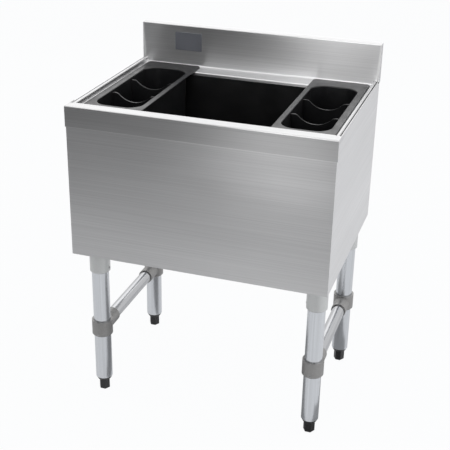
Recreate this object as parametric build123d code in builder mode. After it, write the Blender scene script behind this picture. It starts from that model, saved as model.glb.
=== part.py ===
from build123d import *
import os

# Underbar ice bin. Millimetres, +Z up. X runs left to right, Y from the front to the back.
# The origin is on the floor, under the middle of the bin.

# Overall sizes
width = 609.6
depth = 466.7
rim_height = 765.2
body_height = 358.8
splash_rise = 88.9
splash_depth = 19.05

# Sheet metal
deck_sheet = 1.5
panel_sheet = 1.2
bend_radius = 3.0
panel_bend = 2.0
cove_radius = 5.0
ledge_bend = 1.5
overrun = 2.0
edge_band = 0.3

# Top deck: apron, front rim, side rims and the ledge round the mouth
apron_height = 47.6
front_flat = 30.0
front_slope = 16.0
rim_drop = 12.7
side_rim = 12.7
rim_radius = 3.2
rim_lip = 6.5
rim_crevice = 2.5
end_tab_length = 48.0
end_tab_height = 11.0
splash_lip = 16.0
front_ledge = 16.0
rear_ledge = 50.8
side_ledge = 18.6
mouth_radius = 12.0
mouth_lip = 8.0

# Outer panels
panel_return = 12.0
side_top_drop = 1.5

# Ice liner and insulation
floor_insulation = 53.8
liner_wall = 3.2
liner_flange = 10.0
liner_cove = 14.0
floor_fall = 6.0
drain_flat = 84.0

# Bottle racks
rack_gap = 2.0
rack_side_gap = 6.0
rack_front_gap = 1.5
rack_back_gap = 5.0
rack_seat_gap = 0.3
rack_flange = 3.0
rack_flange_radius = 10.0
rack_inner_flange = 13.0
rack_depth = 205.0
rack_wall = 2.5
rack_well_width = 109.5
rack_corner = 34.0
rack_floor_break = 8.0
rack_draft = 1.5
rack_edge_break = 0.8
rack_mouth_round = 2.5
rack_well_count = 3
divider_thickness = 3.5
divider_drop = 5.0
divider_shoulder = 14.0
divider_dip = 19.0
divider_round = 14.0
well_drain_hole = 6.0

# Legs, sockets and channels
front_leg_setback = 70.7
rear_leg_inset = 59.7
leg_diameter = 41.3
leg_wall = 1.6
leg_bottom = 38.0
leg_fit = 0.15
socket_diameter = 49.0
socket_height = 71.4
socket_break = 3.0
socket_top = 6.0
channel_width = 54.0
channel_height = 30.0
channel_sheet = 2.5
channel_gap = 1.0
channel_side_gap = 6.2

# Crossrails and their collars
collar_diameter = 51.0
collar_bottom = 160.0
collar_height = 41.0
collar_chamfer = 3.0
branch_diameter = 37.6
branch_reach = 62.0
rail_diameter = 31.75
rail_wall = 1.5
rail_stop = 27.0
rail_fit = 0.1

# Set screws, and the bolt that holds each socket
screw_diameter = 6.35
screw_proud = 0.6
screw_socket = 3.2
screw_socket_depth = 2.0
screw_fit = 0.05
socket_screw_rise = 12.0
collar_screw_rise = 9.0
branch_screw_inset = 9.0
bolt_diameter = 12.0
bolt_across_flats = 19.0
bolt_head_height = 7.5
bolt_nut_height = 10.0
bolt_end = 3.0
bolt_fit = 0.25

# Feet
insert_ring_height = 8.0
insert_ring_low = 33.0
insert_plug = 34.0
insert_fit = 0.05
foot_across_flats = 24.0
foot_seat_gap = 0.3
foot_chamfer = 2.5
stud_diameter = 15.9
stud_length = 38.0
stud_fit = 0.05

# Drain
drain_flange_diameter = 76.0
drain_flange = 4.0
drain_shank_diameter = 42.0
drain_shank = 34.0
drain_bore = 30.0
drain_fit = 0.3
strainer_recess = 27.0
strainer_recess_depth = 3.0
strainer_gap = 0.3
strainer_sheet = 1.5
strainer_slot_count = 8
strainer_slot_length = 14.0
strainer_slot_width = 4.0
strainer_slot_ring = 16.0
strainer_knob = 4.0
strainer_knob_height = 12.0
strainer_knob_head = 7.0
strainer_knob_break = 1.5
gasket_diameter = 66.0
gasket_thickness = 3.0
nut_across_flats = 54.0
nut_height = 9.0
thread_fit = 0.05
tail_diameter = 33.4
tail_thread = 32.8
tail_bore = 26.6
tail_engagement = 18.0
tail_drop = 40.0
tail_shoulder = 2.0
tail_hole_gap = 1.0
drain_well_gap = 3.0

# Places worked out from the sizes above
y_front = -depth / 2
y_back = depth / 2
y_splash = y_back - splash_depth
z_rim = rim_height
z_body = rim_height - body_height
z_top = rim_height + splash_rise
z_ledge = z_rim - rim_drop
x_side = width / 2
x_rim = x_side - side_rim
y_slope = y_front + front_flat
y_foot_of_slope = y_slope + front_slope
y_mouth_front = y_foot_of_slope + front_ledge
y_mouth_back = y_splash - rear_ledge
mouth_width = 2 * (x_rim - side_ledge)
mouth_length = y_mouth_back - y_mouth_front
y_mouth = (y_mouth_front + y_mouth_back) / 2
y_panel = y_front + deck_sheet
x_panel = x_side - deck_sheet
x_panel_inside = x_panel - panel_sheet
x_rim_lap = x_panel_inside - rim_crevice
y_rear_panel = y_back - deck_sheet
z_liner_top = z_ledge - deck_sheet
z_floor = z_body + floor_insulation
z_drain = z_floor - floor_fall
z_drain_seat = z_drain + liner_wall
leg_x = x_panel - 2 * panel_sheet - channel_side_gap - channel_width / 2
leg_places = {
    "front_left": (-leg_x, y_front + front_leg_setback, 1),
    "front_right": (leg_x, y_front + front_leg_setback, 1),
    "rear_left": (-leg_x, y_back - rear_leg_inset, -1),
    "rear_right": (leg_x, y_back - rear_leg_inset, -1),
}
z_channel = z_body + panel_sheet
z_leg_top = z_body - socket_top
z_socket = z_body - socket_height
z_collar = collar_bottom + collar_height / 2

os.makedirs("parts", exist_ok=True)


def bent_sheet(plane, points, radius, thickness, side):
    """The section of a folded sheet: its outer line through points, thickened to one side."""
    with BuildSketch(plane) as section:
        with BuildLine():
            FilletPolyline(*points, radius=radius)
            offset(amount=thickness, side=side)
        make_face()
    return section.sketch


def set_screw(seat, length):
    """A set screw that stands on the plane seat, with a hexagonal socket in its outer end."""
    with BuildPart() as screw:
        with BuildSketch(seat):
            Circle(screw_diameter / 2)
        extrude(amount=length)
        with BuildSketch(seat.offset(length)):
            RegularPolygon(screw_socket / 2, 6, major_radius=False)
        extrude(amount=-screw_socket_depth, mode=Mode.SUBTRACT)
    return screw.part


# Top deck: one folded sheet from the apron over the front rim, down to the ledge and up the
# backsplash, with a raised rim along each side and a turned-down lip round the mouth
deck_line = (
    (y_front, z_rim - apron_height),
    (y_front, z_rim),
    (y_slope, z_rim),
    (y_foot_of_slope, z_ledge),
    (y_splash, z_ledge),
    (y_splash, z_top),
    (y_back, z_top),
    (y_back, z_top - splash_lip),
)
deck_radii = (bend_radius, bend_radius, bend_radius, cove_radius, bend_radius, bend_radius)
y_rim_start = y_slope - bend_radius
with BuildPart() as top_deck:
    extrude(
        bent_sheet(Plane.YZ.offset(-x_side), deck_line, deck_radii, deck_sheet, Side.RIGHT),
        amount=width,
    )
    # the ledge makes room for the side rims
    with BuildSketch(Plane.XY.offset(z_liner_top - overrun)):
        with Locations((-x_side, y_rim_start), (x_rim, y_rim_start)):
            Rectangle(side_rim, y_splash - y_rim_start, align=(Align.MIN, Align.MIN))
    extrude(amount=rim_drop + deck_sheet + 2 * overrun, mode=Mode.SUBTRACT)
    # the foot of the backsplash is notched over the side panels
    with BuildSketch(Plane.XY.offset(z_rim - rim_lip)):
        for hand in (1, -1):
            with Locations((hand * (x_panel_inside + x_side) / 2, y_splash)):
                Rectangle(
                    deck_sheet + panel_sheet, splash_depth, align=(Align.CENTER, Align.MIN)
                )
    extrude(amount=-rim_drop, mode=Mode.SUBTRACT)
    # raised side rims, each with a lip turned down inside the side panel
    for hand, side in ((1, Side.LEFT), (-1, Side.RIGHT)):
        rim_line = (
            (hand * x_rim_lap, z_rim - rim_lip),
            (hand * x_rim_lap, z_rim),
            (hand * x_rim, z_rim),
            (hand * x_rim, z_ledge),
            (hand * (x_rim - side_ledge / 2), z_ledge),
        )
        rim_radii = (rim_radius, rim_radius, ledge_bend)
        extrude(
            bent_sheet(Plane.XZ.offset(-y_splash), rim_line, rim_radii, deck_sheet, side),
            amount=y_splash - y_rim_start,
        )
    # tabs that close the front rim at its ends, and plates that close the backsplash
    for hand in (1, -1):
        with BuildSketch(Plane.YZ.offset(hand * x_side)) as end_tab:
            with Locations((y_front, z_rim)):
                Rectangle(end_tab_length, end_tab_height, align=(Align.MIN, Align.MAX))
            fillet(
                end_tab.vertices().group_by(Axis.X)[0].group_by(Axis.Y)[-1], radius=bend_radius
            )
        extrude(amount=-hand * deck_sheet)
        with BuildSketch(Plane.YZ.offset(hand * x_side)) as end_plate:
            with Locations((y_splash, z_rim - rim_lip)):
                Rectangle(splash_depth, splash_rise + rim_lip, align=(Align.MIN, Align.MIN))
            fillet(end_plate.vertices().group_by(Axis.Y)[-1], radius=bend_radius)
        extrude(amount=-hand * deck_sheet)
    # mouth with its lip
    with BuildSketch(Plane.XY.offset(z_ledge + overrun)):
        with Locations((0, y_mouth)):
            RectangleRounded(mouth_width, mouth_length, mouth_radius)
    extrude(amount=-(deck_sheet + 2 * overrun), mode=Mode.SUBTRACT)
    with BuildSketch(Plane.XY.offset(z_ledge)):
        with Locations((0, y_mouth)):
            RectangleRounded(
                mouth_width + 2 * deck_sheet,
                mouth_length + 2 * deck_sheet,
                mouth_radius + deck_sheet,
            )
            RectangleRounded(mouth_width, mouth_length, mouth_radius, mode=Mode.SUBTRACT)
    extrude(amount=-mouth_lip)
    fillet(
        top_deck.edges()
        .filter_by_position(Axis.Z, z_ledge - edge_band, z_ledge + edge_band)
        .filter_by_position(Axis.X, -mouth_width / 2 - edge_band, mouth_width / 2 + edge_band)
        .filter_by_position(Axis.Y, y_mouth_front - edge_band, y_mouth_back + edge_band),
        radius=bend_radius,
    )
top_deck.part.label = "top_deck"
export_step(top_deck.part, "parts/top_deck.step")


# Ice liner: a dark moulded tub with coved floor edges and a floor that falls to the drain
liner_width = mouth_width + 2 * (deck_sheet + liner_wall)
liner_length = mouth_length + 2 * (deck_sheet + liner_wall)
liner_radius = mouth_radius + deck_sheet + liner_wall


def tub_form(inset):
    """The outer form of the liner, or its hollow when inset by the thickness of its wall."""
    with BuildPart() as form:
        with BuildSketch(Plane.XY.offset(z_floor + inset)):
            with Locations((0, y_mouth)):
                RectangleRounded(
                    liner_width - 2 * inset, liner_length - 2 * inset, liner_radius - inset
                )
        extrude(amount=z_liner_top - z_floor - inset)
        fillet(form.faces().sort_by(Axis.Z)[0].edges(), radius=liner_cove - inset)
        # four flat slopes down to the drain
        with BuildSketch(Plane.XY.offset(z_floor + inset)):
            with Locations((0, y_mouth)):
                Rectangle(liner_width - 2 * liner_cove, liner_length - 2 * liner_cove)
        with BuildSketch(Plane.XY.offset(z_drain + inset)):
            with Locations((0, y_mouth)):
                Rectangle(drain_flat, drain_flat)
        loft(ruled=True)
    return form.part


with BuildPart() as ice_liner:
    add(tub_form(0))
    # flange under the ledge
    with BuildSketch(Plane.XY.offset(z_liner_top)):
        with Locations((0, y_mouth)):
            RectangleRounded(
                liner_width + 2 * liner_flange,
                liner_length + 2 * liner_flange,
                liner_radius + liner_flange,
            )
    extrude(amount=-liner_wall)
    add(tub_form(liner_wall), mode=Mode.SUBTRACT)
    with BuildSketch(Plane.XY.offset(z_floor)):
        with Locations((0, y_mouth)):
            Circle(drain_shank_diameter / 2 + drain_fit)
    extrude(amount=-(floor_fall + overrun), mode=Mode.SUBTRACT)
ice_liner.part.label = "ice_liner"
export_step(ice_liner.part, "parts/ice_liner.step")


# Front panel: a sheet behind the apron, with a flange turned back under the rim
front_line = (
    (y_panel, z_body),
    (y_panel, z_rim - deck_sheet),
    (y_panel + panel_return, z_rim - deck_sheet),
)
with BuildPart() as front_panel:
    extrude(
        bent_sheet(
            Plane.YZ.offset(-x_panel), front_line, panel_bend, panel_sheet, Side.RIGHT
        ),
        amount=2 * x_panel,
    )
front_panel.part.label = "front_panel"
export_step(front_panel.part, "parts/front_panel.step")


# Rear panel: the same kind of sheet, running up behind the backsplash inside its lip
rear_line = (
    (y_rear_panel, z_body),
    (y_rear_panel, z_top - deck_sheet),
    (y_rear_panel - panel_return, z_top - deck_sheet),
)
with BuildPart() as rear_panel:
    extrude(
        bent_sheet(Plane.YZ.offset(-x_panel), rear_line, panel_bend, panel_sheet, Side.LEFT),
        amount=2 * x_panel,
    )
rear_panel.part.label = "rear_panel"
export_step(rear_panel.part, "parts/rear_panel.step")


# Side panels: flat sheets whose top edges stand a crevice away outside the lips of the side
# rims, cut down at the front rim and at the backsplash
y_side_front = y_panel + panel_sheet
y_side_back = y_rear_panel - panel_sheet
z_side_top = z_rim - side_top_drop
z_side_notch = z_rim - rim_lip
for panel_name, hand in (("right_side_panel", 1), ("left_side_panel", -1)):
    with BuildPart() as side_panel:
        with BuildSketch(Plane.YZ.offset(hand * x_panel)):
            with BuildLine():
                Polyline(
                    (y_side_front, z_body),
                    (y_side_front, z_side_notch),
                    (y_rim_start, z_side_notch),
                    (y_rim_start, z_side_top),
                    (y_splash, z_side_top),
                    (y_splash, z_side_notch),
                    (y_side_back, z_side_notch),
                    (y_side_back, z_body),
                    close=True,
                )
            make_face()
        extrude(amount=-hand * panel_sheet)
    side_panel.part.label = panel_name
    export_step(side_panel.part, f"parts/{panel_name}.step")


# Bottom panel: a pan with its edges turned up inside the other panels, open for the drain
# and the leg bolts
bottom_width = 2 * (x_panel - panel_sheet)
bottom_length = y_side_back - y_side_front
y_bottom = (y_side_back + y_side_front) / 2
with BuildPart() as bottom_panel:
    with BuildSketch(Plane.XY.offset(z_body)):
        with Locations((0, y_bottom)):
            Rectangle(bottom_width, bottom_length)
    extrude(amount=panel_return)
    offset(amount=-panel_sheet, openings=bottom_panel.faces().sort_by(Axis.Z)[-1])
    with BuildSketch(Plane.XY.offset(z_body)):
        with Locations((0, y_mouth)):
            Circle(tail_diameter / 2 + tail_hole_gap)
        for leg_at_x, leg_at_y, inward in leg_places.values():
            with Locations((leg_at_x, leg_at_y)):
                Circle(bolt_diameter / 2 + bolt_fit)
    extrude(amount=panel_sheet, mode=Mode.SUBTRACT)
bottom_panel.part.label = "bottom_panel"
export_step(bottom_panel.part, "parts/bottom_panel.step")


# Foam insulation poured between the liner and the panels
z_foam = z_body + panel_sheet
foam_length = bottom_length - 2 * panel_sheet
with BuildPart() as foam_insulation:
    with BuildSketch(Plane.XY.offset(z_foam)):
        with Locations((0, y_bottom)):
            Rectangle(bottom_width - 2 * panel_sheet, foam_length)
    extrude(amount=z_liner_top - liner_wall - z_foam)
    add(tub_form(0), mode=Mode.SUBTRACT)
    # spaces for the drain fittings and the leg channels
    with BuildSketch(Plane.XY.offset(z_foam)):
        with Locations((0, y_mouth)):
            Circle(gasket_diameter / 2 + drain_well_gap)
    extrude(amount=z_floor - z_foam, mode=Mode.SUBTRACT)
    with BuildSketch(Plane.XY.offset(z_foam)):
        with Locations((-leg_x, y_bottom), (leg_x, y_bottom)):
            Rectangle(channel_width, foam_length)
    extrude(amount=channel_height, mode=Mode.SUBTRACT)
foam_insulation.part.label = "foam_insulation"
export_step(foam_insulation.part, "parts/foam_insulation.step")


# Bottle racks: moulded trays that hang by their flanges from the ledge, with three wells
# parted by dividers whose tops dip in an arc for the bottle necks
z_rack = z_ledge + rack_seat_gap + rack_flange
rack_outer_x = x_rim - rack_side_gap
rack_front_y = y_foot_of_slope + rack_front_gap
rack_back_y = y_splash - rack_back_gap
well_outer_x = mouth_width / 2 - rack_gap - rack_wall
well_inner_x = well_outer_x - rack_well_width
rack_inner_x = well_inner_x - rack_inner_flange
well_front_y = y_mouth_front + rack_gap + rack_wall
well_back_y = y_mouth_back - rack_gap - rack_wall
rack_center_y = (well_front_y + well_back_y) / 2
rack_opening = well_back_y - well_front_y
well_length = (rack_opening - (rack_well_count - 1) * divider_thickness) / rack_well_count
well_pitch = well_length + divider_thickness
dip_half = rack_well_width / 2 - divider_shoulder
dip_radius = (dip_half**2 + divider_dip**2) / (2 * divider_dip)


def tray_form(center, grow, height):
    """The outside of a rack's tray, or its hollow, drafted and chamfered at the floor."""
    with BuildPart() as form:
        with BuildSketch(Plane.XY.offset(z_rack)):
            with Locations(center):
                RectangleRounded(
                    rack_well_width + 2 * grow, rack_opening + 2 * grow, rack_corner + grow
                )
        extrude(amount=-height, taper=rack_draft)
        chamfer(form.faces().sort_by(Axis.Z)[0].edges(), length=rack_floor_break)
    return form.part


for rack_name, hand in (("left_bottle_rack", -1), ("right_bottle_rack", 1)):
    rack_center_x = hand * (well_inner_x + well_outer_x) / 2
    rack_center = (rack_center_x, rack_center_y)

    # the hollow of the three wells, with the dividers left out of it
    with BuildPart() as wells:
        add(tray_form(rack_center, 0, rack_depth - rack_wall))
        for divider in range(1, rack_well_count):
            divider_y = well_front_y + divider * well_pitch - divider_thickness / 2
            with BuildSketch(Plane.XZ.offset(-divider_y)) as divider_form:
                with Locations((rack_center_x, z_rack - divider_drop)):
                    Rectangle(rack_well_width, rack_depth, align=(Align.CENTER, Align.MAX))
                with Locations(
                    (rack_center_x, z_rack - divider_drop - divider_dip + dip_radius)
                ):
                    Circle(dip_radius, mode=Mode.SUBTRACT)
                shoulders = divider_form.vertices().group_by(Axis.Y)[-1].sort_by(Axis.X)[1:-1]
                fillet(shoulders, radius=divider_round)
            extrude(amount=divider_thickness / 2, both=True, mode=Mode.SUBTRACT)

    with BuildPart() as bottle_rack:
        add(tray_form(rack_center, rack_wall, rack_depth))
        with BuildSketch(Plane.XY.offset(z_rack)):
            with Locations(
                (hand * (rack_inner_x + rack_outer_x) / 2, (rack_front_y + rack_back_y) / 2)
            ):
                RectangleRounded(
                    rack_outer_x - rack_inner_x, rack_back_y - rack_front_y, rack_flange_radius
                )
        extrude(amount=-rack_flange)
        add(wells.part, mode=Mode.SUBTRACT)
        # a drain hole in the floor of each well
        with BuildSketch(Plane.XY.offset(z_rack - rack_depth + rack_wall)):
            for well in range(rack_well_count):
                well_y = well_front_y + well_length / 2 + well * well_pitch
                with Locations((rack_center_x, well_y)):
                    Circle(well_drain_hole)
        extrude(amount=-(rack_wall + overrun), mode=Mode.SUBTRACT)
        fillet(
            bottle_rack.faces().sort_by(Axis.Z)[-1].inner_wires()[0].edges(),
            radius=rack_mouth_round,
        )
        chamfer(
            bottle_rack.faces().sort_by(Axis.Z)[-1].outer_wire().edges(), length=rack_edge_break
        )
    bottle_rack.part.label = rack_name
    export_step(bottle_rack.part, f"parts/{rack_name}.step")


# Leg channels: a folded channel along each side, inside on the bottom panel
for channel_name, hand in (("left_leg_channel", -1), ("right_leg_channel", 1)):
    channel_line = (
        (hand * leg_x - channel_width / 2, z_channel + channel_height),
        (hand * leg_x - channel_width / 2, z_channel),
        (hand * leg_x + channel_width / 2, z_channel),
        (hand * leg_x + channel_width / 2, z_channel + channel_height),
    )
    with BuildPart() as leg_channel:
        extrude(
            bent_sheet(
                Plane.XZ.offset(-(y_bottom + foam_length / 2 - channel_gap)),
                channel_line,
                bend_radius,
                channel_sheet,
                Side.LEFT,
            ),
            amount=foam_length - 2 * channel_gap,
        )
        with BuildSketch(Plane.XY.offset(z_channel)):
            for leg_at_x, leg_at_y, inward in leg_places.values():
                with Locations((hand * leg_x, leg_at_y)):
                    Circle(bolt_diameter / 2 + bolt_fit)
        extrude(amount=channel_sheet, mode=Mode.SUBTRACT)
    leg_channel.part.label = channel_name
    export_step(leg_channel.part, f"parts/{channel_name}.step")


# Leg sockets, leg tubes, collars, foot inserts and feet, one set at each corner
leg_bore = leg_diameter / 2 + leg_fit
branch_bore = rail_diameter / 2 + rail_fit
tube_bore = leg_diameter / 2 - leg_wall
for corner, (leg_at_x, leg_at_y, inward) in leg_places.items():
    hand = 1 if leg_at_x > 0 else -1

    with BuildPart() as leg_socket:
        with BuildSketch(Plane.XY.offset(z_body)):
            with Locations((leg_at_x, leg_at_y)):
                Circle(socket_diameter / 2)
        extrude(amount=-socket_height)
        chamfer(leg_socket.faces().sort_by(Axis.Z)[0].edges(), length=socket_break)
        with BuildSketch(Plane.XY.offset(z_socket)):
            with Locations((leg_at_x, leg_at_y)):
                Circle(leg_bore)
        extrude(amount=z_leg_top - z_socket, mode=Mode.SUBTRACT)
        with BuildSketch(Plane.XY.offset(z_body)):
            with Locations((leg_at_x, leg_at_y)):
                Circle(bolt_diameter / 2 + bolt_fit)
        extrude(amount=-socket_top, mode=Mode.SUBTRACT)
        with BuildSketch(Plane.YZ.offset(leg_at_x)):
            with Locations((leg_at_y, z_socket + socket_screw_rise)):
                Circle(screw_diameter / 2 + screw_fit)
        extrude(amount=-hand * socket_diameter, mode=Mode.SUBTRACT)
    leg_socket.part.label = f"{corner}_leg_socket"
    export_step(leg_socket.part, f"parts/{corner}_leg_socket.step")

    with BuildPart() as leg_tube:
        with BuildSketch(Plane.XY.offset(leg_bottom)):
            with Locations((leg_at_x, leg_at_y)):
                Circle(leg_diameter / 2)
                Circle(tube_bore, mode=Mode.SUBTRACT)
        extrude(amount=z_leg_top - leg_bottom)
    leg_tube.part.label = f"{corner}_leg_tube"
    export_step(leg_tube.part, f"parts/{corner}_leg_tube.step")

    # cast collar with a side socket that points at the other leg of its side
    with BuildPart() as rail_collar:
        with BuildSketch(Plane.XY.offset(collar_bottom)):
            with Locations((leg_at_x, leg_at_y)):
                Circle(collar_diameter / 2)
        extrude(amount=collar_height)
        chamfer(rail_collar.faces().sort_by(Axis.Z)[0].edges(), length=collar_chamfer)
        with BuildSketch(Plane.XZ.offset(-leg_at_y)):
            with Locations((leg_at_x, z_collar)):
                Circle(branch_diameter / 2)
        extrude(amount=-inward * branch_reach)
        with BuildSketch(Plane.XY.offset(collar_bottom)):
            with Locations((leg_at_x, leg_at_y)):
                Circle(leg_bore)
        extrude(amount=collar_height, mode=Mode.SUBTRACT)
        with BuildSketch(Plane.XZ.offset(-(leg_at_y + inward * branch_reach))):
            with Locations((leg_at_x, z_collar)):
                Circle(branch_bore)
        extrude(amount=inward * (branch_reach - rail_stop), mode=Mode.SUBTRACT)
        with BuildSketch(Plane.XZ.offset(-leg_at_y)):
            with Locations((leg_at_x, collar_bottom + collar_screw_rise)):
                Circle(screw_diameter / 2 + screw_fit)
        extrude(amount=inward * collar_diameter, mode=Mode.SUBTRACT)
        with BuildSketch(Plane.XY.offset(z_collar)):
            with Locations(
                (leg_at_x, leg_at_y + inward * (branch_reach - branch_screw_inset))
            ):
                Circle(screw_diameter / 2 + screw_fit)
        extrude(amount=-branch_diameter, mode=Mode.SUBTRACT)
    rail_collar.part.label = f"{corner}_rail_collar"
    export_step(rail_collar.part, f"parts/{corner}_rail_collar.step")

    # plastic plug in the tube's end, with a tapered ring that the tube stands on
    with BuildPart() as foot_insert:
        with BuildSketch(Plane.XY.offset(leg_bottom)):
            with Locations((leg_at_x, leg_at_y)):
                Circle(tube_bore - insert_fit)
        extrude(amount=insert_plug)
        with Locations((leg_at_x, leg_at_y, leg_bottom)):
            Cone(
                bottom_radius=insert_ring_low / 2,
                top_radius=leg_diameter / 2,
                height=insert_ring_height,
                align=(Align.CENTER, Align.CENTER, Align.MAX),
            )
        with BuildSketch(Plane.XY.offset(leg_bottom - insert_ring_height)):
            with Locations((leg_at_x, leg_at_y)):
                Circle(stud_diameter / 2 + stud_fit)
        extrude(amount=insert_ring_height + insert_plug, mode=Mode.SUBTRACT)
    foot_insert.part.label = f"{corner}_foot_insert"
    export_step(foot_insert.part, f"parts/{corner}_foot_insert.step")

    # hexagonal screw foot on its stud
    foot_height = leg_bottom - insert_ring_height - foot_seat_gap
    with BuildPart() as screw_foot:
        with BuildSketch(Plane.XY):
            with Locations((leg_at_x, leg_at_y)):
                RegularPolygon(foot_across_flats / 2, 6, major_radius=False)
        extrude(amount=foot_height)
        chamfer(screw_foot.faces().sort_by(Axis.Z)[0].edges(), length=foot_chamfer)
        with BuildSketch(Plane.XY.offset(foot_height)):
            with Locations((leg_at_x, leg_at_y)):
                Circle(stud_diameter / 2)
        extrude(amount=stud_length)
    screw_foot.part.label = f"{corner}_foot"
    export_step(screw_foot.part, f"parts/{corner}_foot.step")


# Crossrails: a tube on each side between the front and rear collars
rail_front = y_front + front_leg_setback + rail_stop
rail_back = y_back - rear_leg_inset - rail_stop
for rail_name, hand in (("left_crossrail", -1), ("right_crossrail", 1)):
    with BuildPart() as crossrail:
        with BuildSketch(Plane.XZ.offset(-rail_back)):
            with Locations((hand * leg_x, z_collar)):
                Circle(rail_diameter / 2)
                Circle(rail_diameter / 2 - rail_wall, mode=Mode.SUBTRACT)
        extrude(amount=rail_back - rail_front)
    crossrail.part.label = rail_name
    export_step(crossrail.part, f"parts/{rail_name}.step")


# Leg bolts: one through the top of each socket, its head inside the leg tube
with BuildPart() as leg_bolts:
    for leg_at_x, leg_at_y, inward in leg_places.values():
        with BuildSketch(Plane.XY.offset(z_leg_top)):
            with Locations((leg_at_x, leg_at_y)):
                RegularPolygon(bolt_across_flats / 2, 6, major_radius=False)
        extrude(amount=-bolt_head_height)
        with BuildSketch(Plane.XY.offset(z_leg_top)):
            with Locations((leg_at_x, leg_at_y)):
                Circle(bolt_diameter / 2)
        extrude(amount=socket_top + panel_sheet + channel_sheet + bolt_nut_height + bolt_end)
leg_bolts.part.label = "leg_bolts"
export_step(leg_bolts.part, "parts/leg_bolts.step")

with BuildPart() as leg_nuts:
    for leg_at_x, leg_at_y, inward in leg_places.values():
        with BuildSketch(Plane.XY.offset(z_channel + channel_sheet)):
            with Locations((leg_at_x, leg_at_y)):
                RegularPolygon(bolt_across_flats / 2, 6, major_radius=False)
                Circle(bolt_diameter / 2 + thread_fit, mode=Mode.SUBTRACT)
        extrude(amount=bolt_nut_height)
leg_nuts.part.label = "leg_nuts"
export_step(leg_nuts.part, "parts/leg_nuts.step")


# Set screws: one in each socket on its inner side, and two in each collar
socket_screw = socket_diameter / 2 + screw_proud - leg_diameter / 2
collar_screw = collar_diameter / 2 + screw_proud - leg_diameter / 2
branch_screw = branch_diameter / 2 + screw_proud - rail_diameter / 2
with BuildPart() as set_screws:
    for leg_at_x, leg_at_y, inward in leg_places.values():
        hand = 1 if leg_at_x > 0 else -1
        socket_seat = (
            leg_at_x - hand * leg_diameter / 2, leg_at_y, z_socket + socket_screw_rise
        )
        collar_seat = (
            leg_at_x, leg_at_y - inward * leg_diameter / 2, collar_bottom + collar_screw_rise
        )
        branch_seat = (
            leg_at_x,
            leg_at_y + inward * (branch_reach - branch_screw_inset),
            z_collar - rail_diameter / 2,
        )
        add(set_screw(Plane(origin=socket_seat, z_dir=(-hand, 0, 0)), socket_screw))
        add(set_screw(Plane(origin=collar_seat, z_dir=(0, -inward, 0)), collar_screw))
        add(set_screw(Plane(origin=branch_seat, z_dir=(0, 0, -1)), branch_screw))
set_screws.part.label = "set_screws"
export_step(set_screws.part, "parts/set_screws.step")


# Drain body: a flange on the liner's floor with a seat for the strainer, and a threaded shank
with BuildPart() as drain_body:
    with BuildSketch(Plane.XY.offset(z_drain_seat)):
        with Locations((0, y_mouth)):
            Circle(drain_flange_diameter / 2)
    extrude(amount=drain_flange)
    chamfer(drain_body.faces().sort_by(Axis.Z)[-1].edges(), length=drain_flange / 2)
    with BuildSketch(Plane.XY.offset(z_drain_seat)):
        with Locations((0, y_mouth)):
            Circle(drain_shank_diameter / 2)
    extrude(amount=-drain_shank)
    with BuildSketch(Plane.XY.offset(z_drain_seat + drain_flange)):
        with Locations((0, y_mouth)):
            Circle(strainer_recess)
    extrude(amount=-strainer_recess_depth, mode=Mode.SUBTRACT)
    with BuildSketch(Plane.XY.offset(z_drain_seat + drain_flange)):
        with Locations((0, y_mouth)):
            Circle(drain_bore / 2)
    extrude(amount=-(drain_flange + drain_shank), mode=Mode.SUBTRACT)
    with BuildSketch(Plane.XY.offset(z_drain_seat - drain_shank)):
        with Locations((0, y_mouth)):
            Circle(tail_thread / 2 + thread_fit)
    extrude(amount=tail_engagement, mode=Mode.SUBTRACT)
drain_body.part.label = "drain_body"
export_step(drain_body.part, "parts/drain_body.step")

with BuildPart() as drain_gasket:
    with BuildSketch(Plane.XY.offset(z_drain)):
        with Locations((0, y_mouth)):
            Circle(gasket_diameter / 2)
            Circle(drain_shank_diameter / 2 + drain_fit, mode=Mode.SUBTRACT)
    extrude(amount=-gasket_thickness)
drain_gasket.part.label = "drain_gasket"
export_step(drain_gasket.part, "parts/drain_gasket.step")

with BuildPart() as drain_lock_nut:
    with BuildSketch(Plane.XY.offset(z_drain - gasket_thickness)):
        with Locations((0, y_mouth)):
            RegularPolygon(nut_across_flats / 2, 6, major_radius=False)
            Circle(drain_shank_diameter / 2 + thread_fit, mode=Mode.SUBTRACT)
    extrude(amount=-nut_height)
drain_lock_nut.part.label = "drain_lock_nut"
export_step(drain_lock_nut.part, "parts/drain_lock_nut.step")

# Tail pipe: threaded into the shank, with a plain end below the bottom panel
z_tail_top = z_drain_seat - drain_shank + tail_engagement
z_tail_end = z_body - tail_drop
with BuildPart() as drain_tail_pipe:
    with BuildSketch(Plane.XY.offset(z_tail_end)):
        with Locations((0, y_mouth)):
            Circle(tail_diameter / 2)
    extrude(amount=tail_drop - tail_shoulder)
    with BuildSketch(Plane.XY.offset(z_tail_end)):
        with Locations((0, y_mouth)):
            Circle(tail_thread / 2)
    extrude(amount=z_tail_top - z_tail_end)
    with BuildSketch(Plane.XY.offset(z_tail_end)):
        with Locations((0, y_mouth)):
            Circle(tail_bore / 2)
    extrude(amount=z_tail_top - z_tail_end, mode=Mode.SUBTRACT)
drain_tail_pipe.part.label = "drain_tail_pipe"
export_step(drain_tail_pipe.part, "parts/drain_tail_pipe.step")

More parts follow.
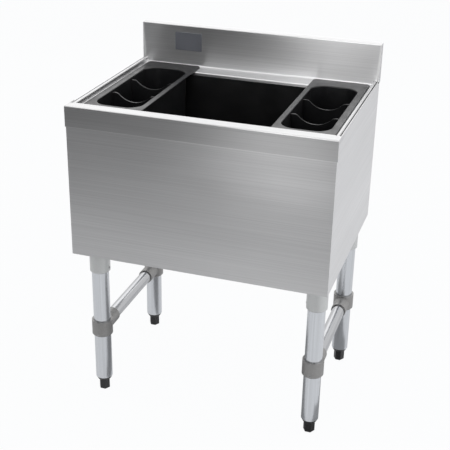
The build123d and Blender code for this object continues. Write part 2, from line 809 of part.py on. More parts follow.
# Strainer: a slotted disc with a lifting knob, loose in the drain's seat
z_strainer = z_drain_seat + drain_flange - strainer_recess_depth + strainer_gap
with BuildPart() as drain_strainer:
    with BuildSketch(Plane.XY.offset(z_strainer)):
        with Locations((0, y_mouth)):
            Circle(strainer_recess - strainer_gap)
    extrude(amount=strainer_sheet)
    with BuildSketch(Plane.XY.offset(z_strainer)):
        with Locations((0, y_mouth)):
            with PolarLocations(strainer_slot_ring, strainer_slot_count):
                SlotOverall(strainer_slot_length, strainer_slot_width)
    extrude(amount=strainer_sheet, mode=Mode.SUBTRACT)
    with BuildSketch(Plane.XY.offset(z_strainer)):
        with Locations((0, y_mouth)):
            Circle(strainer_knob)
    extrude(amount=strainer_knob_height)
    with BuildSketch(Plane.XY.offset(z_strainer + strainer_knob_height)):
        with Locations((0, y_mouth)):
            Circle(strainer_knob_head)
    extrude(amount=-strainer_knob)
    chamfer(drain_strainer.faces().sort_by(Axis.Z)[-1].edges(), length=strainer_knob_break)
drain_strainer.part.label = "drain_strainer"
export_step(drain_strainer.part, "parts/drain_strainer.step")
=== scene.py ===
# %% [markdown]
# # An underbar ice bin in satin stainless steel
# The bin is a folded steel box on four tube legs. An insulated ice well fills its middle, and a
# dark plastic bottle rack hangs in each end of the well. The construction comes ready as a packed
# CAD model, so these cells only give it its surfaces, its light and its camera.

# %% Load the frame
import math
import bpy
import bmesh
from mathutils import Matrix, Vector


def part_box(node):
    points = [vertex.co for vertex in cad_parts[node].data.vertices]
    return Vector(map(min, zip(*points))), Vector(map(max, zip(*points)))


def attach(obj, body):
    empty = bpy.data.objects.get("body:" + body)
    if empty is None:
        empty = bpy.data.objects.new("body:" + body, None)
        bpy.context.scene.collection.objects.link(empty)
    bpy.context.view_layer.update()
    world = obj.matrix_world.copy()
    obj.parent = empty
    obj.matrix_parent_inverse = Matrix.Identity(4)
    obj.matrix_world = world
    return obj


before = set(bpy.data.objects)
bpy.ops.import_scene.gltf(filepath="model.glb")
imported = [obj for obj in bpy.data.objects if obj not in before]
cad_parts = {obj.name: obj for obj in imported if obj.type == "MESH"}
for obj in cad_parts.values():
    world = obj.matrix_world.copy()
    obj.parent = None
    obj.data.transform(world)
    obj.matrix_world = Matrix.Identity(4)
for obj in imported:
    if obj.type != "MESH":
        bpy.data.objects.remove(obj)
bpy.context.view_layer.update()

# %% [markdown]
# ## The camera
# The photograph was taken from the front right, a little above the rim. A camera can be placed by
# hand and nudged, or worked out from the corners of a box of known size. The second way was used
# here, because a box with straight edges gives the lens and the place at once. The camera is
# turned by three angles, which give its own three axes, and then set at its place.

# %% Camera
CAMERA_AZIMUTH = math.radians(17.879)
CAMERA_ELEVATION = math.radians(24.877)
CAMERA_ROLL = math.radians(1.153)
CAMERA_PLACE = Vector((0.6521, -2.0418, 1.4219))
CAMERA_LENS_MM = 77.453
CAMERA_SENSOR_MM = 36

back = Vector((
    math.sin(CAMERA_AZIMUTH) * math.cos(CAMERA_ELEVATION),
    -math.cos(CAMERA_AZIMUTH) * math.cos(CAMERA_ELEVATION),
    math.sin(CAMERA_ELEVATION),
))
level_right = Vector((math.cos(CAMERA_AZIMUTH), math.sin(CAMERA_AZIMUTH), 0))
level_up = back.cross(level_right)
right = level_right * math.cos(CAMERA_ROLL) + level_up * math.sin(CAMERA_ROLL)
up = level_up * math.cos(CAMERA_ROLL) - level_right * math.sin(CAMERA_ROLL)

camera_data = bpy.data.cameras.new("camera")
camera_data.sensor_width = CAMERA_SENSOR_MM
camera_data.lens = CAMERA_LENS_MM
camera = bpy.data.objects.new("camera", camera_data)
turn = Matrix((right, up, back)).transposed().to_4x4()
camera.matrix_world = Matrix.Translation(CAMERA_PLACE) @ turn
bpy.context.collection.objects.link(camera)
bpy.context.scene.camera = camera
print("camera at", [round(value, 3) for value in CAMERA_PLACE])

# %% [markdown]
# ## Short names for shader work
# A material is a small graph. Adding each node and wiring it by hand takes four lines a time, so
# a few helpers do it: one adds a node with its settings, one joins two sockets, and one starts a
# material with its Principled shader. Numbers that are the same all over a surface are written
# straight on the shader's own sockets.

# %% Helpers for materials
def add_node(tree, kind, values=None, **settings):
    """Adds a shader node, sets its properties, and then the values of its input sockets."""
    made = tree.nodes.new("ShaderNode" + kind)
    for name, value in settings.items():
        setattr(made, name, value)
    for socket, value in (values or {}).items():
        made.inputs[socket].default_value = value
    return made


def wire(tree, source, target):
    tree.links.new(source, target)


def new_material(name, values):
    """A material with a Principled shader. values are the sockets that stay constant."""
    material = bpy.data.materials.new(name)
    material.use_nodes = True
    tree = material.node_tree
    shader = next(n for n in tree.nodes if n.type == "BSDF_PRINCIPLED")
    for socket, value in values.items():
        shader.inputs[socket].default_value = value
    return material, tree, shader


def object_coordinates(tree):
    return add_node(tree, "TexCoord").outputs["Object"]


# %% Helper: paint the CAD nodes
def paint(nodes, material):
    """Gives CAD nodes a material, in every slot that they have."""
    for name in nodes:
        mesh_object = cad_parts[name]
        if not mesh_object.material_slots:
            mesh_object.data.materials.append(material)
        for material_slot in mesh_object.material_slots:
            material_slot.material = material
    print(material.name, "on", len(nodes), "nodes")

# %% [markdown]
# ## Helpers for groups
# An effect that several materials share is a group: a small graph of its own, with named sockets.
# It could be copied into each material, but a group is built once and each material only sets its
# values. Two helpers start a group and place it, and two more keep the vector sums inside short.

# %% Helpers for groups
NUMBER_RESULTS = ("DOT_PRODUCT", "DISTANCE")


def new_group(name, inputs, outputs):
    """An empty shader group. inputs are (socket kind, name, value), outputs (kind, name)."""
    group = bpy.data.node_groups.new(name, "ShaderNodeTree")
    for kind, label, value in inputs:
        socket = group.interface.new_socket(
            name=label, in_out="INPUT", socket_type="NodeSocket" + kind
        )
        socket.default_value = value
    for kind, label in outputs:
        group.interface.new_socket(name=label, in_out="OUTPUT", socket_type="NodeSocket" + kind)
    return group, group.nodes.new("NodeGroupInput"), group.nodes.new("NodeGroupOutput")


def place_group(tree, group, coordinates, values):
    """Puts a group into a material, reading the object's own coordinates."""
    made = tree.nodes.new("ShaderNodeGroup")
    made.node_tree = group
    wire(tree, coordinates, made.inputs["Vector"])
    for socket, value in values.items():
        made.inputs[socket].default_value = value
    return made


def vector_math(tree, operation, *sources):
    """A vector node that takes the sources in their order, and what comes out of it."""
    made = add_node(tree, "VectorMath", operation=operation)
    for place, source in enumerate(sources):
        wire(tree, source, made.inputs[place])
    return made.outputs["Value" if operation in NUMBER_RESULTS else "Vector"]


def scaled(tree, vector, factor):
    """A vector or a colour made longer or brighter by a factor. Both are sockets."""
    made = add_node(tree, "VectorMath", operation="SCALE")
    wire(tree, vector, made.inputs[0])
    wire(tree, factor, made.inputs["Scale"])
    return made.outputs["Vector"]

# %% [markdown]
# ## Brushed grain
# Sheet steel for kitchens is drawn past an abrasive belt, which leaves fine lines all one way.
# An image of scratches would do it, but a stretched noise needs no image and never repeats: it
# changes slowly along the grain and fast across it. A second, much larger noise gives the faint
# clouds that sheet and polish leave. One group makes both, and each material sets the direction.

# %% Group: brushed grain
grain_group, grain_in, grain_out = new_group(
    "Brushed grain",
    [("Vector", "Vector", (0, 0, 0)), ("Vector", "Lines", (3, 700, 700)),
     ("Vector", "Clouds", (2, 6, 6))],
    [("Float", "Lines"), ("Float", "Clouds")],
)
for output, detail in (("Lines", 2.0), ("Clouds", 3.0)):
    stretched = vector_math(
        grain_group, "MULTIPLY", grain_in.outputs["Vector"], grain_in.outputs[output]
    )
    noise = add_node(grain_group, "TexNoise", {"Scale": 1.0, "Detail": detail})
    wire(grain_group, stretched, noise.inputs["Vector"])
    wire(grain_group, noise.outputs["Fac"], grain_out.inputs[output])
print("group", grain_group.name)

# %% [markdown]
# ## Welded seams and a painted highlight
# Where two folds meet, the corner is welded and then ground smooth by hand. The grinding leaves a
# narrow, brighter and duller band along the seam. A band of the same tone along the apron's lower
# edge, where nothing is welded, is a painted highlight. The band could be a strip of mesh, but it
# has
# no thickness, so it is a mask: the distance from a point to a line between two ends, turned into a
# soft band. The group takes the size of X, so that one band serves both ends of the bin.

# %% Group: band for the welded seams and the painted highlight
# One band mask serves the ground welded seams and the painted highlight along the apron's lower
# edge.
weld_and_highlight_group, band_mask_in, band_mask_out = new_group(
    "Ground weld",
    [("Vector", "Vector", (0, 0, 0)), ("Vector", "Start", (0, 0, 0)),
     ("Vector", "End", (0, 0, 1)), ("Float", "Half Width", 0.004)],
    [("Float", "Mask")],
)
start, end = band_mask_in.outputs["Start"], band_mask_in.outputs["End"]
whole = add_node(weld_and_highlight_group, "SeparateXYZ")
wire(weld_and_highlight_group, band_mask_in.outputs["Vector"], whole.inputs[0])
size_of_x = add_node(weld_and_highlight_group, "Math", operation="ABSOLUTE")
wire(weld_and_highlight_group, whole.outputs["X"], size_of_x.inputs[0])
point = add_node(weld_and_highlight_group, "CombineXYZ")
wire(weld_and_highlight_group, size_of_x.outputs["Value"], point.inputs["X"])
wire(weld_and_highlight_group, whole.outputs["Y"], point.inputs["Y"])
wire(weld_and_highlight_group, whole.outputs["Z"], point.inputs["Z"])

# %% Group: the distance to the seam, and its band
along = vector_math(weld_and_highlight_group, "SUBTRACT", end, start)
offset = vector_math(weld_and_highlight_group, "SUBTRACT", point.outputs["Vector"], start)
share = add_node(weld_and_highlight_group, "Math", operation="DIVIDE", use_clamp=True)
wire(weld_and_highlight_group, vector_math(weld_and_highlight_group, "DOT_PRODUCT", offset, along), share.inputs[0])
wire(weld_and_highlight_group, vector_math(weld_and_highlight_group, "DOT_PRODUCT", along, along), share.inputs[1])
nearest = scaled(weld_and_highlight_group, along, share.outputs["Value"])
gap = vector_math(weld_and_highlight_group, "DISTANCE", offset, nearest)
band = add_node(
    weld_and_highlight_group, "MapRange", {"From Min": 0.0, "To Min": 1.0, "To Max": 0.0},
    interpolation_type="SMOOTHSTEP",
)
wire(weld_and_highlight_group, gap, band.inputs["Value"])
wire(weld_and_highlight_group, band_mask_in.outputs["Half Width"], band.inputs["From Max"])
wire(weld_and_highlight_group, band.outputs["Result"], band_mask_out.inputs["Mask"])
print("group", weld_and_highlight_group.name)

# %% [markdown]
# ## From a noise to a tone
# A noise stays near the middle of its range, so used as it is, it hardly shows. It is stretched
# from where it mostly lies to the two ends that the surface needs. A weld works the other way: its
# mask pulls the tone and the roughness towards one value. These helpers serve every material.

# %% Helpers for tones
NOISE_LOW, NOISE_HIGH = 0.3, 0.7
# a Mix node keeps its sockets for numbers and for colours at different places
MIX_SOCKETS = {"FLOAT": (2, 3, 0), "RGBA": (6, 7, 2)}


def from_noise(tree, noise, low, high):
    made = add_node(tree, "MapRange", {
        "From Min": NOISE_LOW, "From Max": NOISE_HIGH, "To Min": low, "To Max": high,
    })
    wire(tree, noise, made.inputs["Value"])
    return made.outputs["Result"]


def pulled(tree, kind, mask, source, value):
    """A number or a colour, pulled towards a constant value where the mask is 1."""
    first, second, result = MIX_SOCKETS[kind]
    made = add_node(tree, "Mix", {second: value}, data_type=kind)
    wire(tree, mask, made.inputs["Factor"])
    wire(tree, source, made.inputs[first])
    return made.outputs[result]


def raised(tree, shader, height, strength, depth):
    """Feeds a height into the shader's normal. depth is in metres."""
    lift = add_node(tree, "Bump", {"Strength": strength, "Distance": depth})
    wire(tree, height, lift.inputs["Height"])
    wire(tree, lift.outputs["Normal"], shader.inputs["Normal"])

# %% [markdown]
# ## Satin sheet steel
# Stainless steel has almost no colour of its own. What the eye reads is how bright and how blurred
# the reflections are, so the material is a full metal with a middling roughness. Fine grooves blur
# a reflection far more across the grain than along it, which draws every light out into a soft
# upright band. The shader has a setting for that, and its direction comes from the surface: square
# to the normal and to the grain.

# %% Sheet steel: the direction across the grain
ANISOTROPY = 0.8
CUT_EDGE_DIRECTION = (0.0007, 0.0008, 0.001)


def blur_across(tree, shader, grain_axis):
    """Turns the shader's blur square to the grain."""
    surface = add_node(tree, "NewGeometry")
    across = add_node(tree, "VectorMath", {1: grain_axis}, operation="CROSS_PRODUCT")
    wire(tree, surface.outputs["Normal"], across.inputs[0])
    # a face square to the grain has no such direction, so every face gets a little of another one
    kept = add_node(tree, "VectorMath", {1: CUT_EDGE_DIRECTION}, operation="ADD")
    wire(tree, across.outputs["Vector"], kept.inputs[0])
    wire(tree, kept.outputs["Vector"], shader.inputs["Tangent"])

# %% [markdown]
# ## Painted shade, welded seams and a painted highlight on the sheet
# The apron is folded down from the deck, and its face is painted a little darker than the flat
# sheet:
# painted shade for the darker reflection of the folded band. The welded seams are brighter and
# duller, and a band of that tone along the apron's lower edge is a painted highlight. All of them
# are worked out from the place on the object, so they stay where they are from every side.

# %% Sheet steel: the painted apron shade, the welded seams and the painted highlight
SHADE_BLEND = 0.001
# Brighter tone of the ground welded seams; along the apron's lower edge the same tone is a painted
# highlight.
WELD_AND_HIGHLIGHT_TONE = (0.86, 0.86, 0.86, 1)
WELD_ROUGHNESS = 0.5


def paint_apron_shade(tree, coordinates, tone, fold_end, shade_share):
    """Paints shade on the apron: keeps a share of the tone in front of the Y where the fold ends."""
    place = add_node(tree, "SeparateXYZ")
    wire(tree, coordinates, place.inputs[0])
    kept_share = add_node(tree, "MapRange", {
        "From Min": fold_end - SHADE_BLEND, "From Max": fold_end, "To Min": shade_share, "To Max": 1.0,
    })
    wire(tree, place.outputs["Y"], kept_share.inputs["Value"])
    return scaled(tree, tone, kept_share.outputs["Result"])


def grind_welds_and_paint_highlight(tree, coordinates, welds_and_highlights, tone, roughness):
    """Each band is (start, end, half its width): the ground welded seams and the painted highlight
    along the apron's lower edge. Gives back the tone and the roughness.
    """
    for start, end, half_width in welds_and_highlights:
        band_mask = place_group(
            tree, weld_and_highlight_group, coordinates, {"Start": start, "End": end, "Half Width": half_width}
        )
        tone = pulled(tree, "RGBA", band_mask.outputs["Mask"], tone, WELD_AND_HIGHLIGHT_TONE)
        roughness = pulled(tree, "FLOAT", band_mask.outputs["Mask"], roughness, WELD_ROUGHNESS)
    return tone, roughness

# %% [markdown]
# ## One function for every sheet
# The sheets differ only in tone, in roughness, in grain direction and in where their welded seams,
# painted shade and painted highlight are, so one function makes them all. The grooves darken the
# tone and are raised a little, and the clouds change the tone and the roughness together.

# %% Sheet steel: the material
GROOVE_TONES = (0.93, 1.05)
CLOUD_TONES = (0.94, 1.05)
CLOUD_ROUGHNESS = 0.04
GROOVE_STRENGTH, GROOVE_DEPTH = 0.25, 0.00004


def brushed_sheet(name, tone, roughness, grain_axis, lines, clouds, welds_and_highlights=(), painted_apron_shade=None):
    """The apron's painted shade is given as (Y where the fold ends, share of the tone that it
    keeps).
    """
    material, tree, shader = new_material(name, {"Metallic": 1.0, "Anisotropic": ANISOTROPY})
    blur_across(tree, shader, grain_axis)
    coordinates = object_coordinates(tree)
    grain = place_group(tree, grain_group, coordinates, {"Lines": lines, "Clouds": clouds})
    both = add_node(tree, "Math", operation="MULTIPLY")
    wire(tree, from_noise(tree, grain.outputs["Lines"], *GROOVE_TONES), both.inputs[0])
    wire(tree, from_noise(tree, grain.outputs["Clouds"], *CLOUD_TONES), both.inputs[1])
    colour = add_node(tree, "VectorMath", {0: tone}, operation="SCALE")
    wire(tree, both.outputs["Value"], colour.inputs["Scale"])
    colour_now = colour.outputs["Vector"]
    rough_now = from_noise(
        tree, grain.outputs["Clouds"], roughness - CLOUD_ROUGHNESS, roughness + CLOUD_ROUGHNESS
    )
    # the face of the apron is painted darker: painted shade
    if painted_apron_shade:
        colour_now = paint_apron_shade(tree, coordinates, colour_now, *painted_apron_shade)
    colour_now, rough_now = grind_welds_and_paint_highlight(tree, coordinates, welds_and_highlights, colour_now, rough_now)
    wire(tree, colour_now, shader.inputs["Base Color"])
    wire(tree, rough_now, shader.inputs["Roughness"])
    raised(tree, shader, grain.outputs["Lines"], GROOVE_STRENGTH, GROOVE_DEPTH)
    return material

# %% [markdown]
# ## Where the deck is welded, and where its highlight is painted
# The deck's seams run at the ends of the side rims and along the closed ends of the backsplash, and
# a painted highlight runs along the apron's lower edge. Their places follow from the deck's own box
# and a few sizes of its folds, so they sit on the metal from any side.

# %% Places on the deck
deck_low, deck_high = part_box("top_deck")
SPLASH_DEPTH = 0.01905
RIM_HEIGHT = 0.7652
RIM_DROP = 0.0127
SIDE_RIM = 0.0127
RIM_LAP = 0.0052
SPLASH_FACE = deck_high.y - SPLASH_DEPTH
LEDGE_HEIGHT = RIM_HEIGHT - RIM_DROP
RIM_INNER = deck_high.x - SIDE_RIM
RIM_OUTER = deck_high.x - RIM_LAP
print("splash face at", round(SPLASH_FACE, 4), "and ledge at", round(LEDGE_HEIGHT, 4))

# %% Welded seams, painted highlight and painted shade of the deck
RIM_WELD, LEDGE_WELD, SPLASH_WELD, APRON_EDGE_HIGHLIGHT = 0.006, 0.004, 0.005, 0.0016
LEDGE_WELD_LENGTH = 0.015
SPLASH_WELD_RISE = 0.085
# The face of the apron keeps only a share of its tone: painted shade for the darker reflection of
# the folded band.
FOLD_DEPTH = 0.002
APRON_SHADE_SHARE = 0.78

rim_outer_end = (RIM_OUTER, SPLASH_FACE, RIM_HEIGHT)
rim_inner_end = (RIM_INNER, SPLASH_FACE, LEDGE_HEIGHT)
ledge_seam_end = (RIM_INNER, SPLASH_FACE - LEDGE_WELD_LENGTH, LEDGE_HEIGHT)
splash_seam_end = (deck_high.x, SPLASH_FACE, RIM_HEIGHT + SPLASH_WELD_RISE)
# A painted highlight along the apron's lower edge, in the brighter tone of the welded seams.
apron_highlight_middle = (0, deck_low.y, deck_low.z)
apron_highlight_end = (deck_high.x, deck_low.y, deck_low.z)
deck_welds_and_highlight = (
    (rim_outer_end, rim_inner_end, RIM_WELD),
    (rim_inner_end, ledge_seam_end, LEDGE_WELD),
    (rim_outer_end, splash_seam_end, SPLASH_WELD),
    (apron_highlight_middle, apron_highlight_end, APRON_EDGE_HIGHLIGHT),
)
apron_painted_shade = (deck_low.y + FOLD_DEPTH, APRON_SHADE_SHARE)
print("deck welds:", len(deck_welds_and_highlight))

# %% Paint the sheets
STEEL_TONE = (0.69, 0.69, 0.695)
# The side panels are the same steel as the front, in a lighter tone: painted light for the right
# side, which faces the right lamp. The left side gets the same tone.
SIDE_TONE_PAINTED_LIGHTER = (0.76, 0.76, 0.77)
CHANNEL_TONE = (0.5, 0.5, 0.5)
ALONG_X, ALONG_Y, ALONG_Z = (1, 0, 0), (0, 1, 0), (0, 0, 1)

deck_steel = brushed_sheet(
    "satin deck steel", STEEL_TONE, roughness=0.35, grain_axis=ALONG_X,
    lines=(2.5, 800, 800), clouds=(1.5, 7, 7), welds_and_highlights=deck_welds_and_highlight, painted_apron_shade=apron_painted_shade,
)
paint(["top_deck"], deck_steel)
panel_steel = brushed_sheet(
    "satin panel steel", STEEL_TONE, roughness=0.315, grain_axis=ALONG_X,
    lines=(2.5, 700, 700), clouds=(1.5, 5, 5),
)
paint(["front_panel", "rear_panel", "bottom_panel"], panel_steel)
# Painted light: the side panels in a lighter copy of the panel steel.
side_steel_painted_lighter = brushed_sheet(
    "satin side steel painted lighter", SIDE_TONE_PAINTED_LIGHTER, roughness=0.4, grain_axis=ALONG_Y,
    lines=(700, 2.5, 700), clouds=(5, 1.5, 5),
)
paint(["left_side_panel", "right_side_panel"], side_steel_painted_lighter)
channel_steel = brushed_sheet(
    "mill channel steel", CHANNEL_TONE, roughness=0.42, grain_axis=ALONG_Y,
    lines=(400, 3, 400), clouds=(6, 2, 6),
)
paint(["left_leg_channel", "right_leg_channel"], channel_steel)

# %% [markdown]
# ## Tubes
# The legs and rails are drawn tube with the grain along their length, so each reflection becomes
# one bright line down the tube. They are the same kind of sheet, only smoother and with another
# grain direction, and need no material of their own kind.

# %% Paint the tubes
LEG_TONE = (0.70, 0.72, 0.75)
RAIL_TONE = (0.50, 0.505, 0.52)
CORNERS = ("front_left", "front_right", "rear_left", "rear_right")


def at_corners(piece):
    """The names of a piece that every leg has."""
    return [corner + "_" + piece for corner in CORNERS]


leg_steel = brushed_sheet(
    "satin leg tube", LEG_TONE, roughness=0.23, grain_axis=ALONG_Z,
    lines=(300, 300, 3), clouds=(9, 9, 2),
)
paint(at_corners("leg_tube"), leg_steel)
rail_steel = brushed_sheet(
    "bright rail tube", RAIL_TONE, roughness=0.2, grain_axis=ALONG_Y,
    lines=(900, 5, 900), clouds=(9, 2, 9),
)
paint(["left_crossrail", "right_crossrail"], rail_steel)

# %% [markdown]
# ## Cast and moulded skins
# A casting has a fine, dull, slightly pitted skin, and a moulding copies the spark-eroded grain of
# its mould. Both are small bumps all over, so one group makes them from a fine noise, with a larger
# noise for the uneven shine of handled metal and plastic.

# %% Group: fine skin
skin_group, skin_in, skin_out = new_group(
    "Fine skin",
    [("Vector", "Vector", (0, 0, 0)), ("Float", "Pits", 1400.0), ("Float", "Patches", 25.0)],
    [("Float", "Pits"), ("Float", "Patches")],
)
for output in ("Pits", "Patches"):
    noise = add_node(skin_group, "TexNoise", {"Detail": 2.0})
    wire(skin_group, skin_in.outputs["Vector"], noise.inputs["Vector"])
    wire(skin_group, skin_in.outputs[output], noise.inputs["Scale"])
    wire(skin_group, noise.outputs["Fac"], skin_out.inputs[output])
print("group", skin_group.name)


# %% Material function: skins
PATCH_ROUGHNESS = 0.06
PIT_STRENGTH = 0.4


def skinned(name, tone, metallic, roughness, pits, depth, spread=0.12):
    """A cast or moulded surface. depth is the height of its pits in metres."""
    material, tree, shader = new_material(name, {"Metallic": metallic})
    skin = place_group(tree, skin_group, object_coordinates(tree), {"Pits": pits})
    colour = add_node(tree, "VectorMath", {0: tone}, operation="SCALE")
    pit_share = from_noise(tree, skin.outputs["Pits"], 1.0 - spread, 1.0 + spread)
    wire(tree, pit_share, colour.inputs["Scale"])
    wire(tree, colour.outputs["Vector"], shader.inputs["Base Color"])
    rough = from_noise(
        tree, skin.outputs["Patches"], roughness - PATCH_ROUGHNESS, roughness + PATCH_ROUGHNESS
    )
    wire(tree, rough, shader.inputs["Roughness"])
    raised(tree, shader, skin.outputs["Pits"], PIT_STRENGTH, depth)
    return material

# %% [markdown]
# ## Plastics, rubber, foam and the near-black liner
# The racks and the feet are near black. A black plastic shows mostly its shine, so the tone stays
# just above zero and the roughness does the work. The liner is given a near-black, non-metal surface
# as well, so the well is dark inside. The foam and the gasket can't be seen in the closed bin, and
# are finished all the same.

# %% Paint the plastics
rack_plastic = skinned(
    "dark rack plastic", (0.011, 0.011, 0.012), metallic=0.0, roughness=0.335, pits=900,
    depth=0.00003,
)
paint(["left_bottle_rack", "right_bottle_rack"], rack_plastic)
# The liner is near black and not a metal, so the inside of the well is dark.
near_black_liner = skinned(
    "near-black liner", (0.009, 0.009, 0.0095), metallic=0.0, roughness=0.4, pits=500,
    depth=0.00003,
)
paint(["ice_liner"], near_black_liner)
foot_plastic = skinned(
    "black foot plastic", (0.02, 0.02, 0.021), metallic=0.0, roughness=0.42, pits=900,
    depth=0.00003,
)
paint(at_corners("foot") + at_corners("foot_insert"), foot_plastic)
foam = skinned(
    "pale rigid foam", (0.75, 0.66, 0.42), metallic=0.0, roughness=0.9, pits=900, depth=0.0002
)
paint(["foam_insulation"], foam)
gasket_rubber = skinned(
    "drain rubber", (0.02, 0.02, 0.02), metallic=0.0, roughness=0.6, pits=600, depth=0.00003
)
paint(["drain_gasket"], gasket_rubber)

# %% [markdown]
# ## Castings and turned metal
# The leg sockets are a light, smooth casting and the rails' collars a darker, rougher one. The
# drain is plated, its nut is brass and the strainer is polished. All are metals with the same skin
# in other depths, so the same function makes them.

# %% Paint the castings and the turned metal
socket_metal = skinned(
    "smooth socket casting", (0.70, 0.71, 0.705), metallic=0.55, roughness=0.42, pits=700,
    depth=0.00003, spread=0.05,
)
paint(at_corners("leg_socket"), socket_metal)
collar_metal = skinned(
    "grey collar casting", (0.36, 0.355, 0.35), metallic=0.7, roughness=0.5, pits=500,
    depth=0.00008,
)
paint(at_corners("rail_collar"), collar_metal)
fastener_steel = skinned(
    "turned fastener steel", (0.45, 0.45, 0.45), metallic=1.0, roughness=0.35, pits=900,
    depth=0.00002,
)
paint(["leg_bolts", "leg_nuts", "set_screws"], fastener_steel)
drain_plating = skinned(
    "plated drain metal", (0.65, 0.65, 0.66), metallic=1.0, roughness=0.2, pits=900,
    depth=0.00001, spread=0.03,
)
paint(["drain_body", "drain_tail_pipe"], drain_plating)
nut_brass = skinned(
    "plain nut brass", (0.6, 0.42, 0.16), metallic=1.0, roughness=0.35, pits=900, depth=0.00002
)
paint(["drain_lock_nut"], nut_brass)
strainer_steel = skinned(
    "polished strainer steel", (0.5, 0.5, 0.51), metallic=1.0, roughness=0.35, pits=900,
    depth=0.00001, spread=0.04,
)
paint(["drain_strainer"], strainer_steel)

# %% [markdown]
# ## The bare plate on the backsplash
# A thin metal plate sits high on the left of the backsplash, and it is bare. It could be painted
# on by a mask, but a real plate stands half a millimetre proud and catches the light at its edge,
# so it is a thin mesh with rounded corners and a bevelled front edge.

# %% Outline of the plate
PLATE_LOW = Vector((-0.217, 0, RIM_HEIGHT + 0.026))
PLATE_HIGH = Vector((-0.1465, 0, RIM_HEIGHT + 0.071))
PLATE_THICKNESS = 0.0006
PLATE_CORNER = 0.002
PLATE_CORNER_STEPS = 5


def rounded_outline(low, high, corner, steps):
    """The points of a rectangle with round corners, in X and Z, counter-clockwise."""
    points = []
    for centre_x, centre_z, first in (
        (high.x - corner, low.z + corner, -90), (high.x - corner, high.z - corner, 0),
        (low.x + corner, high.z - corner, 90), (low.x + corner, low.z + corner, 180),
    ):
        for step in range(steps + 1):
            angle = math.radians(first + 90 * step / steps)
            points.append((centre_x + corner * math.cos(angle), centre_z + corner * math.sin(angle)))
    return points


# %% Mesh of the plate
# each row of points is (depth, inset), as shares of the thickness
PLATE_ROW_SHARES = ((0, 0), (0.6, 0), (1.0, 0.4))


def plate_mesh(name, low, high, back_y):
    """A thin plate whose back lies on the plane Y = back_y and whose front edge is bevelled."""
    plate = bmesh.new()
    rows = []
    for depth, inset in PLATE_ROW_SHARES:
        shrink = Vector((1, 0, 1)) * inset * PLATE_THICKNESS
        outline = rounded_outline(low + shrink, high - shrink, PLATE_CORNER, PLATE_CORNER_STEPS)
        rows.append([
            plate.verts.new((x, back_y - depth * PLATE_THICKNESS, z)) for x, z in outline
        ])
    for lower, upper in zip(rows, rows[1:]):
        for k in range(len(lower)):
            after = (k + 1) % len(lower)
            plate.faces.new((lower[k], lower[after], upper[after], upper[k]))
    plate.faces.new(rows[-1])
    plate.faces.new(list(reversed(rows[0])))
    bmesh.ops.recalc_face_normals(plate, faces=plate.faces)
    mesh = bpy.data.meshes.new(name)
    plate.to_mesh(mesh)
    plate.free()
    made = bpy.data.objects.new(name, mesh)
    bpy.context.collection.objects.link(made)
    return made


bare_plate = plate_mesh("bare_plate", PLATE_LOW, PLATE_HIGH, SPLASH_FACE)
plate_metal = skinned(
    "blue-grey plate", (0.30, 0.31, 0.35), metallic=0.8, roughness=0.38, pits=700,
    depth=0.00001, spread=0.04,
)
bare_plate.data.materials.append(plate_metal)
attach(bare_plate, "bin")
print("plate", bare_plate.name, "with", len(bare_plate.data.polygons), "faces")

# %% [markdown]
# ## The floor
# The photograph is a studio picture, white all round. A floor lit until it is white would flood the
# steel with light from below. So the floor shows its own white only to the camera, a weaker white
# in reflections, and is a plain pale surface to every other ray. The little that the camera sees of
# the plain surface keeps a faint shadow under the feet.

# %% Helpers for light paths
def combined(tree, operation, first, second):
    made = add_node(tree, "Math", operation=operation)
    wire(tree, first, made.inputs[0])
    wire(tree, second, made.inputs[1])
    return made.outputs["Value"]


def weakened(tree, source, strength):
    made = add_node(tree, "Math", {1: strength}, operation="MULTIPLY")
    wire(tree, source, made.inputs[0])
    return made.outputs["Value"]


# %% Floor
FLOOR_HALF = 8.0
floor_mesh = bpy.data.meshes.new("floor")
floor_mesh.from_pydata(
    [(-FLOOR_HALF, -FLOOR_HALF, 0), (FLOOR_HALF, -FLOOR_HALF, 0),
     (FLOOR_HALF, FLOOR_HALF, 0), (-FLOOR_HALF, FLOOR_HALF, 0)], [], [(0, 1, 2, 3)]
)
floor = bpy.data.objects.new("floor", floor_mesh)
bpy.context.collection.objects.link(floor)
print("floor", FLOOR_HALF * 2, "m wide")

# %% Floor material
FLOOR_GLOW = 0.97
FLOOR_GLOW_MIRRORED = 0.52
FLOOR_TONE = (0.82, 0.82, 0.83, 1)
FLOOR_WHITE = (0.99, 0.995, 1.0, 1)

floor_material = bpy.data.materials.new("pale studio floor")
floor_material.use_nodes = True
floor_tree = floor_material.node_tree
floor_tree.nodes.clear()
floor_out = floor_tree.nodes.new("ShaderNodeOutputMaterial")
matte = add_node(floor_tree, "BsdfDiffuse", {"Color": FLOOR_TONE})
glow = add_node(floor_tree, "Emission", {"Color": FLOOR_WHITE, "Strength": 1.0})
path = add_node(floor_tree, "LightPath")
mirrored = combined(
    floor_tree, "MAXIMUM", path.outputs["Is Glossy Ray"], path.outputs["Is Transmission Ray"]
)
part_glow = combined(
    floor_tree, "MAXIMUM",
    weakened(floor_tree, path.outputs["Is Camera Ray"], FLOOR_GLOW),
    weakened(floor_tree, mirrored, FLOOR_GLOW_MIRRORED),
)
floor_mix = add_node(floor_tree, "MixShader")
wire(floor_tree, part_glow, floor_mix.inputs["Fac"])
wire(floor_tree, matte.outputs["BSDF"], floor_mix.inputs[1])
wire(floor_tree, glow.outputs["Emission"], floor_mix.inputs[2])
wire(floor_tree, floor_mix.outputs["Shader"], floor_out.inputs["Surface"])
floor_mesh.materials.append(floor_material)
print("floor material", floor_material.name)

# %% [markdown]
# ## The world
# The world is white to the camera and in reflections, because steel has nothing else to mirror in a
# white studio. As light on the object it is much weaker, so that plain colours come out about as
# they are written.

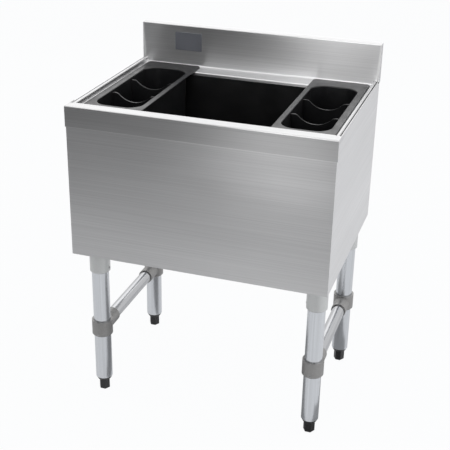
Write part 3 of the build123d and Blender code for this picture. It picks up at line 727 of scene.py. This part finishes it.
# %% World
WORLD_LIGHT = (0.95, 0.97, 1, 1)
WORLD_LIGHT_STRENGTH = 0.45
WORLD_WHITE = (1, 1, 1, 1)

world = bpy.data.worlds.new("white studio")
bpy.context.scene.world = world
world.use_nodes = True
world_tree = world.node_tree
world_tree.nodes.clear()
world_out = world_tree.nodes.new("ShaderNodeOutputWorld")
ambient = add_node(
    world_tree, "Background", {"Color": WORLD_LIGHT, "Strength": WORLD_LIGHT_STRENGTH}
)
white = add_node(world_tree, "Background", {"Color": WORLD_WHITE, "Strength": 1.0})
world_path = add_node(world_tree, "LightPath")
world_mirrored = combined(
    world_tree, "MAXIMUM",
    world_path.outputs["Is Glossy Ray"], world_path.outputs["Is Transmission Ray"],
)
world_seen = combined(
    world_tree, "MAXIMUM", world_path.outputs["Is Camera Ray"], world_mirrored
)
world_mix = add_node(world_tree, "MixShader")
wire(world_tree, world_seen, world_mix.inputs["Fac"])
wire(world_tree, ambient.outputs["Background"], world_mix.inputs[1])
wire(world_tree, white.outputs["Background"], world_mix.inputs[2])
wire(world_tree, world_mix.outputs["Shader"], world_out.inputs["Surface"])
print("world", world.name)

# %% [markdown]
# ## Lamps
# Soft light comes from above, from the right and a little from behind. A small lamp would leave a
# hard spot on every sheet, so each lamp is a large rectangle that faces the bin.

# %% Lamps
BIN_MIDDLE = (0, 0, 0.5)


def soft_lamp(name, place, target, size, watts):
    data = bpy.data.lights.new(name, "AREA")
    data.shape = "RECTANGLE"
    data.size, data.size_y = size
    data.energy = watts
    lamp = bpy.data.objects.new(name, data)
    lamp.location = place
    lamp.rotation_mode = "QUATERNION"
    lamp.rotation_quaternion = (Vector(target) - Vector(place)).to_track_quat("-Z", "Y")
    bpy.context.collection.objects.link(lamp)
    print(name, "at", place)


soft_lamp("overhead lamp", place=(0.2, -0.3, 3.2), target=BIN_MIDDLE, size=(3.8, 3.8), watts=22)
soft_lamp("right lamp", place=(3.0, -0.6, 1.6), target=BIN_MIDDLE, size=(3.2, 2.6), watts=22)
soft_lamp("back lamp", place=(-0.8, 2.6, 2.0), target=BIN_MIDDLE, size=(2.6, 1.6), watts=9)

# %% [markdown]
# ## What the steel mirrors
# Polished sheet shows mostly what stands before it. Two wide grey cards stand in front of the bin,
# one above the other, and give the steel its darker tones. A narrow soft lamp just before them
# gives the bright band on the right half of the front and of the backsplash. A small grey mat under
# the bin is the shade that the rear legs mirror. The camera sees none of them.

# %% Cards
def grey_card(name, corners, tone):
    """A flat grey card that only reflections and bounced light see."""
    mesh = bpy.data.meshes.new(name)
    mesh.from_pydata(corners, [], [(0, 1, 2, 3)])
    card = bpy.data.objects.new(name, mesh)
    bpy.context.collection.objects.link(card)
    material, _, _ = new_material(name, {"Roughness": 1.0, "Base Color": (tone, tone, tone, 1)})
    mesh.materials.append(material)
    card.visible_camera = False
    return card


CARD_Y = -1.5
CARD_LEFT, CARD_RIGHT = -2.2, 1.4
CARD_JOIN, CARD_TOP = 1.1, 2.15
LOWER_CARD_TONE, UPPER_CARD_TONE = 0.07, 0.30


def front_card(name, low, high, tone):
    grey_card(name, [
        (CARD_LEFT, CARD_Y, low), (CARD_RIGHT, CARD_Y, low),
        (CARD_RIGHT, CARD_Y, high), (CARD_LEFT, CARD_Y, high),
    ], tone)


front_card("lower front card", 0, CARD_JOIN, LOWER_CARD_TONE)
front_card("upper front card", CARD_JOIN, CARD_TOP, UPPER_CARD_TONE)
print("front cards up to", CARD_TOP)

# %% Front lamp and mat
CARD_LAMP_X, CARD_LAMP_HEIGHT = -0.1, 1.25
CARD_LAMP_GAP = 0.05
MAT = ((-0.2, -0.22), (0.4, -0.22), (0.4, 0.16), (-0.2, 0.16))
MAT_HEIGHT = 0.001
MAT_TONE = 0.5

soft_lamp(
    "front lamp", place=(CARD_LAMP_X, CARD_Y + CARD_LAMP_GAP, CARD_LAMP_HEIGHT),
    target=(CARD_LAMP_X, 0, CARD_LAMP_HEIGHT), size=(0.38, 1.1), watts=4.5,
)
mat = grey_card("floor mat", [(x, y, MAT_HEIGHT) for x, y in MAT], MAT_TONE)
mat.visible_shadow = False
mat.visible_diffuse = False
bpy.context.scene.view_settings.view_transform = "Standard"
print("lit and staged")
